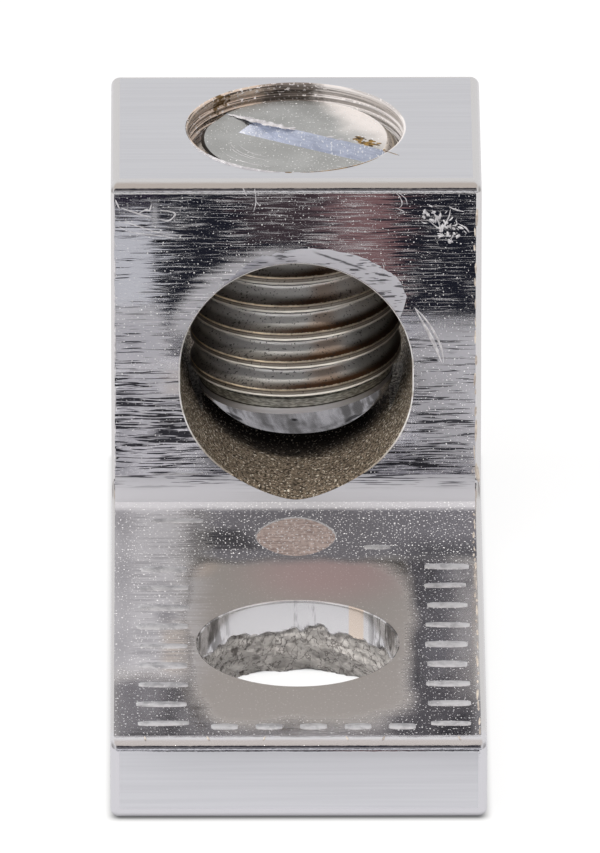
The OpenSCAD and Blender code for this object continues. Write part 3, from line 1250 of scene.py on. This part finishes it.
def makeScrew():
    steps, base, neck, neckZ = 192, screw["tipZ"], screw["neck"], screw["tipZ"] + screw["tipHeight"]
    levels = [base + screw["tipHeight"] * k / 8 for k in range(8)]
    levels += [neckZ + (screwTopZ - neckZ) * k / 260 for k in range(261)]
    verts = []
    for level in levels:
        if level < neckZ:  # the tip leans late, so it clears the bore's wall
            rise = ((level - base) / screw["tipHeight"]) ** 4
        else:
            left = max(0.0, 1.0 - (level - neckZ) / screw["leanReach"])
            rise = left * left * (3 - 2 * left)
        for k in range(steps):
            angle = 2 * math.pi * k / steps
            z = level + screw["lean"] * math.cos(angle) * rise
            turn = ((z - screw["crestZ"]) / screw["pitch"] - angle / (2 * math.pi) - 0.25) % 1.0
            r = screw["minor"] + (screw["major"] - screw["minor"]) * threadDepth(turn)
            if level <= neckZ:
                r = min(neck, math.sqrt(screw["dome"] ** 2 - (screw["domeZ"] - level) ** 2))
            elif level < neckZ + screw["leadHeight"]:
                lead = (level - neckZ) / screw["leadHeight"]
                r = max(neck, neck + (r - neck) * lead ** 2)
            r = min(r, screw["major"] - max(0.0, z - (screwTopZ - screw["bevel"])))
            verts.append((r * math.cos(angle), screw["y"] + r * math.sin(angle), z))
    indices = [3 if level <= neckZ + 1e-6 else 0 for level in levels[1:] for k in range(steps)]
    metals = [threadMetal, screwTop, slotMetal, tipMetal]
    return makeObject("screw_thread", verts, hoops(len(levels), steps), metals, indices + [3, 1])


def makeSlotCutter():
    verts = []
    for z in (screwTopZ - screw["slotDepth"], screwTopZ + 1.0):
        for u, v in ((-1, -1), (1, -1), (1, 1), (-1, 1)):
            p = slotAlong * (u * 5.0) + slotAcross * (v * screw["slotWidth"] / 2)
            verts.append((p.x, screw["y"] + p.y, z))
    return makeObject("slotCutter", verts, hoops(2, 4), [slotMetal])


setScrew = makeScrew()
cut(setScrew, makeSlotCutter())
smooth(setScrew, 40)
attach(setScrew, "screw")
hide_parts("set_screw")
print("screw made:", len(setScrew.data.polygons), "faces")

slotBurr = {
    "from": -3.0,
    "to": -0.35,
    "width": 0.26,
    "height": 0.05,
    "chips": (-2.3, -1.8, -1.5, -1.1, -0.6, 0.9, 1.3),
    # radius and angles of rubbed arcs
    "rubs": [(1.75, 195, 250), (2.0, 188, 256), (2.12, 200, 244), (2.5, 205, 262)],
}


def onSlot(u, v):  # along the slot and across it
    return Vector((0.0, screw["y"])) + slotAlong * u + slotAcross * v


def makeSlotBurr():  # a driver left ragged metal along the slot's edge
    edgeV, path = screw["slotWidth"] / 2 - 0.02, []
    for k in range(22):
        u = slotBurr["from"] + (slotBurr["to"] - slotBurr["from"]) * k / 21
        path.append(onSlot(u, edgeV + 0.12 * wobble(k * 0.8, 5.0, 2.0)))
    strokes = [(path, slotBurr["width"], slotBurr["height"], 0.3)]
    for u in slotBurr["chips"]:
        strokes.append(([onSlot(u, edgeV), onSlot(u + 0.2, edgeV + 0.14)], 0.09, 0.03, 0.3))
    for radius, start, stop in slotBurr["rubs"]:
        strokes.append((arc(radius, start, stop, -0.3, screw["y"]), 0.035, 0.006, 0.3))
    makeRidges("slot_burr", strokes, onScrew, scuffsAndEdgeShine, "screw")


slotFold = {"u": (-3.1, -0.7), "rows": 15, "columns": 9, "fall": 0.9, "dent": 0.05, "sunk": 0.02}


def makeSlotFold():  # the same driver closed the slot's left end
    rows, columns, sunk = slotFold["rows"], slotFold["columns"], slotFold["sunk"]
    (u0, u1), half = slotFold["u"], screw["slotWidth"] / 2
    verts, faces, under = [], [], rows * columns
    for i in range(rows):
        share = i / (rows - 1)
        fall = sunk + slotFold["fall"] * share ** 2.5
        for k in range(columns):
            inner = 0 < k < columns - 1
            dent = slotFold["dent"] * wobble(i * 0.7, k * 0.9, 8.0) if inner else 0.0
            p = onSlot(u0 + (u1 - u0) * share + dent, half * (1.02 - 2.04 * k / (columns - 1)))
            verts.append((p.x, p.y, screwTopZ - fall + dent * 0.6))
    for i in range(rows):  # its underside, in the slot's floor
        for v in (half * 1.02, -half * 1.02):
            p = onSlot(u0 + (u1 - u0) * i / (rows - 1), v)
            verts.append((p.x, p.y, screwTopZ - screw["slotDepth"] - sunk))
    for i in range(rows - 1):
        a, b = i * columns, under + 2 * i
        for c in range(a, a + columns - 1):
            faces.append((c, c + 1, c + 1 + columns, c + columns))
        faces.append((a, a + columns, b + 2, b))
        faces.append((a + columns - 1, b + 1, b + 3, a + 2 * columns - 1))
        faces.append((b, b + 2, b + 3, b + 1))
    last, end = under - columns, under + 2 * rows
    faces.append(tuple(range(columns)) + (under + 1, under))
    faces.append(tuple(range(last, under)) + (end - 1, end - 2))
    sloping = [int(sum(verts[v][2] for v in face) / len(face) < screwTopZ - 0.12) for face in faces]
    made = makeObject("slot_fold", verts, faces, [screwTop, slotMetal], sloping)
    settle(made, 50, "screw")


makeSlotBurr()
makeSlotFold()

slotDirt = {"spots": 34, "seed": 21, "from": (1.95, 10.12), "to": (2.70, 9.57)}


def makeSlotDirt():  # gold-brown crumbs at the slot's right end
    draw, strokes = random.Random(slotDirt["seed"]), []
    (u0, v0), (u1, v1) = slotDirt["from"], slotDirt["to"]
    for k in range(slotDirt["spots"]):
        share = draw.random()
        u = u0 + (u1 - u0) * share + draw.uniform(-0.12, 0.12)
        v = v0 + (v1 - v0) * share + draw.uniform(-0.18, 0.18)
        way, size = draw.uniform(-0.9, 0.1), draw.uniform(0.08, 0.26)
        ends = [(u, v), (u + size * math.cos(way), v + size * math.sin(way))]
        strokes.append((ends, draw.uniform(0.08, 0.2), draw.uniform(0.012, 0.03), 0.3))
    makeRidges("slot_dirt", strokes, onScrew, dirty, "screw")


makeSlotDirt()
print("marks on the screw made")

# floor, cards that the polished face mirrors, and the room's light


def makeSheet(name, xs, ys, z):  # a flat sheet of the stage, with no nodes in its material yet
    (x0, x1), (y0, y1) = xs, ys
    sheet = bpy.data.materials.new(name)
    sheet.use_nodes = True
    sheet.node_tree.nodes.clear()
    corners = [(x0, y0, z), (x1, y0, z), (x1, y1, z), (x0, y1, z)]
    made = makeObject(name, corners, [(0, 1, 2, 3)], [sheet])
    return made, Wire(sheet.node_tree)


floorLook = {
    "reach": (-900, 900),
    "colour": (0.80, 0.80, 0.80),
    "white": 1.08,
    "share": 0.80,
    "mirrored": (0.735, 0.735, 0.765),
    "mirrorShare": 0.85,
    "under": (0.05, 0.05, 0.05),
}


def makeFloor():
    made, w = makeSheet("floor", floorLook["reach"], floorLook["reach"], 0)
    x, y, z = w.places()
    hole = distance((x, 0.0), (y, stud["y"])).ramp(stud["radius"] + 0.5, stud["radius"] + 0.9)
    # hardly any light gets in under the lug
    under = x.band(-6.3, 6.3, 0.3) * y.band(-14.62, 14.62, 0.3) * hole
    seen = w.node("LightPath", output="Is Camera Ray")
    mirrored = w.node("LightPath", output="Is Glossy Ray")
    matte = w.node("BsdfDiffuse", None, {"Color": floorLook["colour"]})
    white = under.mix((1, 1, 1), floorLook["under"])
    glow = w.node("Emission", None, {"Color": white, "Strength": floorLook["white"]})
    even = under.mix(floorLook["mirrored"], floorLook["under"])
    even = w.node("Emission", None, {"Color": even, "Strength": 1.0})
    soft = w.node("MixShader", None, {0: mirrored * floorLook["mirrorShare"], 1: matte, 2: even})
    both = w.node("MixShader", None, {0: seen * floorLook["share"], 1: soft, 2: glow})
    w.node("OutputMaterial", None, {"Surface": both})


makeFloor()

cards = {
    "dark": {"x": (-4.9, 9.0), "y": (-62.0, -21.3), "colour": (0.012, 0.013, 0.02)},
    "dusk": {"x": (-1.7, 3.7), "y": (-62.0, -31.0), "colour": (0.045, 0.032, 0.037)},
    "rose": {"x": (1.2, 3.7), "y": (-62.0, -21.3), "colour": (0.11, 0.072, 0.078)},
    "pink": {"x": (1.9, 3.65), "y": (-62.0, -21.3), "colour": (0.19, 0.108, 0.11)},
    "plum": {"x": (-8.0, -4.8), "y": (-42.0, -30.9), "colour": (0.014, 0.010, 0.022)},
    "pale": {"x": (-10.0, -4.9), "y": (-31.8, -19.0), "colour": (0.52, 0.52, 0.55)},
    "rust": {"x": (4.4, 5.5), "y": (-40.0, -35.4), "colour": (0.09, 0.04, 0.035)},
}
for level, (name, card) in enumerate(cards.items()):  # one above the other
    made, w = makeSheet("card_" + name, card["x"], card["y"], 0.2 + 0.2 * level)
    glow = w.node("Emission", None, {"Color": card["colour"], "Strength": 1.0})
    w.node("OutputMaterial", None, {"Surface": glow})
    made.visible_camera = made.visible_diffuse = made.visible_shadow = False

room = {
    "light": (0.72, 0.72, 0.735),
    "above": (0.54, 0.49, 0.46),
    "side": (0.40, 0.39, 0.39),
    "dark": (0.02, 0.02, 0.03),
    "grey": (0.22, 0.21, 0.22),
    "lavender": (0.75, 0.75, 0.80),
}


def makeWorld():
    world = bpy.data.worlds.new("room")
    world.use_nodes = True
    tree = world.node_tree
    tree.nodes.clear()
    w = Wire(tree)
    x, y, z = w.node("TexCoord", output="Generated").split()
    rise = w.math("ARCSINE", z) * (180 / math.pi)
    ahead = (0.0 - y) / w.math("SQRT", x * x + y * y + 1e-6)
    zone = ahead.ramp(0.72, 0.92) * rise.band(0.0, 63.0, 3.0)
    glow = rise.band(9.0, 22.5, 2.0)
    upper = rise.band(28.5, 44.0, 2.5)
    around = rise.ramp(36.0, 66.0).mix(room["light"], room["above"])
    around = abs(x).ramp(0.62, 0.95).mix(around, room["side"])
    colour = zone.mix(around, glow.mix(upper.mix(room["dark"], room["grey"]), room["lavender"]))
    seen = w.node("LightPath", output="Is Camera Ray")
    sky = w.node("Background", None, {"Color": seen.mix(colour, (1, 1, 1)), "Strength": 1.0})
    w.node("OutputWorld", None, {"Surface": sky})
    scene.world = world


makeWorld()

lamps = {
    "strip": {
        "place": (-0.02, -0.160, 0.300),
        "size": (0.30, 0.016),
        "power": 0.9,
        "colour": (1.0, 0.97, 0.93),
    },
    "left": {
        "place": (-0.32, -0.04, 0.22),
        "size": (0.14, 0.14),
        "power": 0.5,
        "colour": (1.0, 0.98, 0.96),
    },
}
for name, values in lamps.items():
    lightData = bpy.data.lights.new(name, "AREA")
    lightData.shape = "RECTANGLE"
    lightData.size, lightData.size_y = values["size"]
    lightData.energy = values["power"]
    lightData.color = values["colour"]
    light = bpy.data.objects.new(name, lightData)
    light.location = values["place"]
    light.visible_glossy = False  # polished metal shows the room alone
    light.rotation_euler = (-Vector(values["place"])).to_track_quat("-Z", "Y").to_euler()
    scene.collection.objects.link(light)

view = {"rise": 24.75, "round": -0.249, "far": 0.85, "lens": 1051.1, "shift": (0.00362, 0.01847)}
eye = bpy.data.objects.new("eye", bpy.data.cameras.new("eye"))
eye.data.lens = view["lens"]
eye.data.sensor_width = 36.0
eye.data.shift_x, eye.data.shift_y = view["shift"]
eye.data.clip_start, eye.data.clip_end = 0.01, 20.0
rise, turn = math.radians(view["rise"]), math.radians(view["round"])
back = Vector((math.sin(turn) * math.cos(rise), -math.cos(turn) * math.cos(rise), math.sin(rise)))
eye.location = Vector((0.0, 0.0, body["height"] / 2 * mm)) + back * view["far"]
eye.rotation_euler = (-back).to_track_quat("-Z", "Y").to_euler()
scene.collection.objects.link(eye)
scene.camera = eye
scene.view_settings.view_transform = "Standard"
print("stage, light and camera made")
